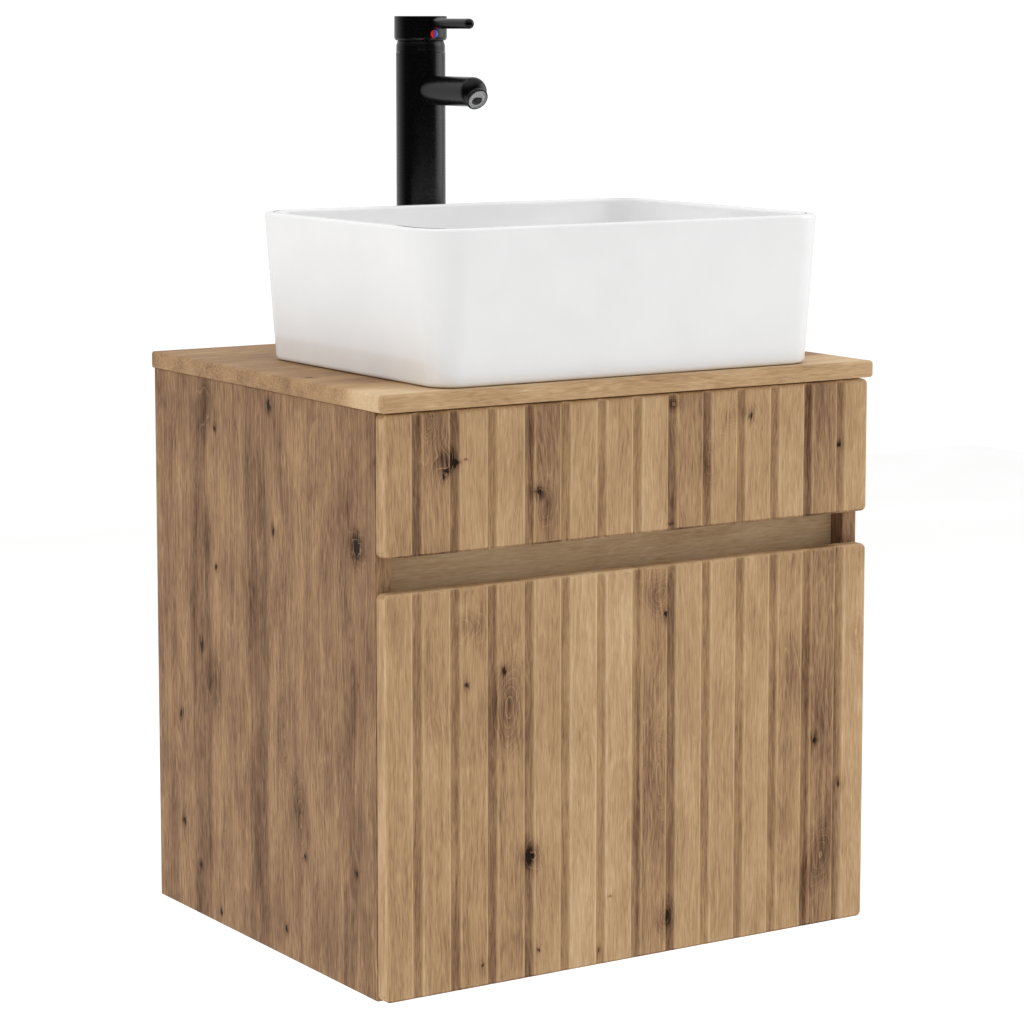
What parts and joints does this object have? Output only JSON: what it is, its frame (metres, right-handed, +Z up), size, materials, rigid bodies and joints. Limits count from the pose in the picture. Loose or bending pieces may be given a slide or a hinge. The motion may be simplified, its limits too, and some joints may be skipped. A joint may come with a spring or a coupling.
{
  "type": "bathroom vanity unit",
  "caption": "Wall-hung vanity cabinet with grooved oak-look fronts, one deep drawer behind a finger gap, worktop, vessel basin and tall single-lever mixer.",
  "frame": {"origin": "middle of the footprint's bounding box, on the plane of the cabinet's bottom", "axes": "+Z up, -Y towards the drawer front, +Y towards the wall, +X to the right seen from the front"},
  "size_m": [0.508, 0.4203, 0.8138],
  "materials": {
    "oak_board": "satin knotty oak decor",
    "oak_strip": "satin oak decor, shaded",
    "glazed_basin": "gloss white glaze",
    "matt_black_metal": "matt black powder coat",
    "zinc_steel": "zinc plated",
    "chrome_waste": "polished",
    "brass_fitting": "machined",
    "black_rubber": "matt",
    "clear_bumper": "translucent",
    "white_plastic": "matt",
    "grey_plastic": "matt",
    "red_enamel": "gloss",
    "blue_enamel": "gloss"
  },
  "bodies": {
    "cabinet": {"side_panel_left": "oak_board", "side_panel_right": "oak_board", "bottom_panel": "oak_board", "hanging_rail": "oak_board", "lower_rail": "oak_board", "top_front_panel": "oak_board", "front_block_left": "oak_board", "front_block_right": "oak_board", "worktop": "oak_board", "grip_rail": "oak_strip", "basin": "glazed_basin", "tap_body": "matt_black_metal", "tap_dome_nut": "matt_black_metal", "tap_spout": "matt_black_metal", "cam_lock_1": "zinc_steel", "cam_lock_2": "zinc_steel", "cam_lock_3": "zinc_steel", "cam_lock_4": "zinc_steel", "hanger_hook_left": "zinc_steel", "hanger_hook_right": "zinc_steel", "runner_outer_left": "zinc_steel", "runner_outer_right": "zinc_steel", "aerator_ring": "zinc_steel", "aerator_mesh": "zinc_steel", "drain_body": "chrome_waste", "tap_shank": "brass_fitting", "tap_nut": "brass_fitting", "drain_gasket": "black_rubber", "tap_gasket": "black_rubber", "tap_washer": "black_rubber", "bumper_left": "clear_bumper", "bumper_right": "clear_bumper", "hanger_housing_left": "white_plastic", "hanger_housing_right": "white_plastic", "drain_nut": "grey_plastic", "tap_cartridge": "grey_plastic"},
    "drawer": {"drawer_front": "oak_board", "drawer_side_left": "oak_board", "drawer_side_right": "oak_board", "drawer_back_left": "oak_board", "drawer_back_right": "oak_board", "liner_side_left": "oak_board", "liner_side_right": "oak_board", "liner_front": "oak_board", "drawer_bottom": "oak_board", "runner_inner_left": "zinc_steel", "runner_inner_right": "zinc_steel"},
    "slide_member_left": {"runner_middle_left": "zinc_steel"},
    "slide_member_right": {"runner_middle_right": "zinc_steel"},
    "mixer_rotor": {"cartridge_rotor": "white_plastic"},
    "mixer_handle": {"tap_cap": "matt_black_metal", "tap_lever": "matt_black_metal", "cartridge_stem": "zinc_steel", "tap_dot_red": "red_enamel", "tap_dot_blue": "blue_enamel"},
    "waste_plug": {"drain_plug": "chrome_waste"}
  },
  "joints": [
    {"name": "drawer_slide", "type": "slide", "parent": "cabinet", "child": "drawer", "axis": [0, -1, 0], "range_m": [0, 0.34]},
    {"name": "left_member_slide", "type": "slide", "parent": "cabinet", "child": "slide_member_left", "axis": [0, -1, 0], "range_m": [0, 0.17]},
    {"name": "right_member_slide", "type": "slide", "parent": "cabinet", "child": "slide_member_right", "axis": [0, -1, 0], "range_m": [0, 0.17]},
    {"name": "temperature_swivel", "type": "hinge", "parent": "cabinet", "child": "mixer_rotor", "pos_m": [0, 0.15125, 0.7823], "axis": [0, 0, 1], "range_deg": [-45, 45]},
    {"name": "flow_tilt", "type": "hinge", "parent": "mixer_rotor", "child": "mixer_handle", "pos_m": [0, 0.15125, 0.7823], "axis": [-1, 0, 0], "range_deg": [0, 25]},
    {"name": "waste_plug_slide", "type": "slide", "parent": "cabinet", "child": "waste_plug", "axis": [0, 0, 1], "range_m": [0, 0.008]}
  ],
  "couplings": [
    {"joint": "left_member_slide", "follows": "drawer_slide", "ratio": 0.5},
    {"joint": "right_member_slide", "follows": "drawer_slide", "ratio": 0.5}
  ]
}
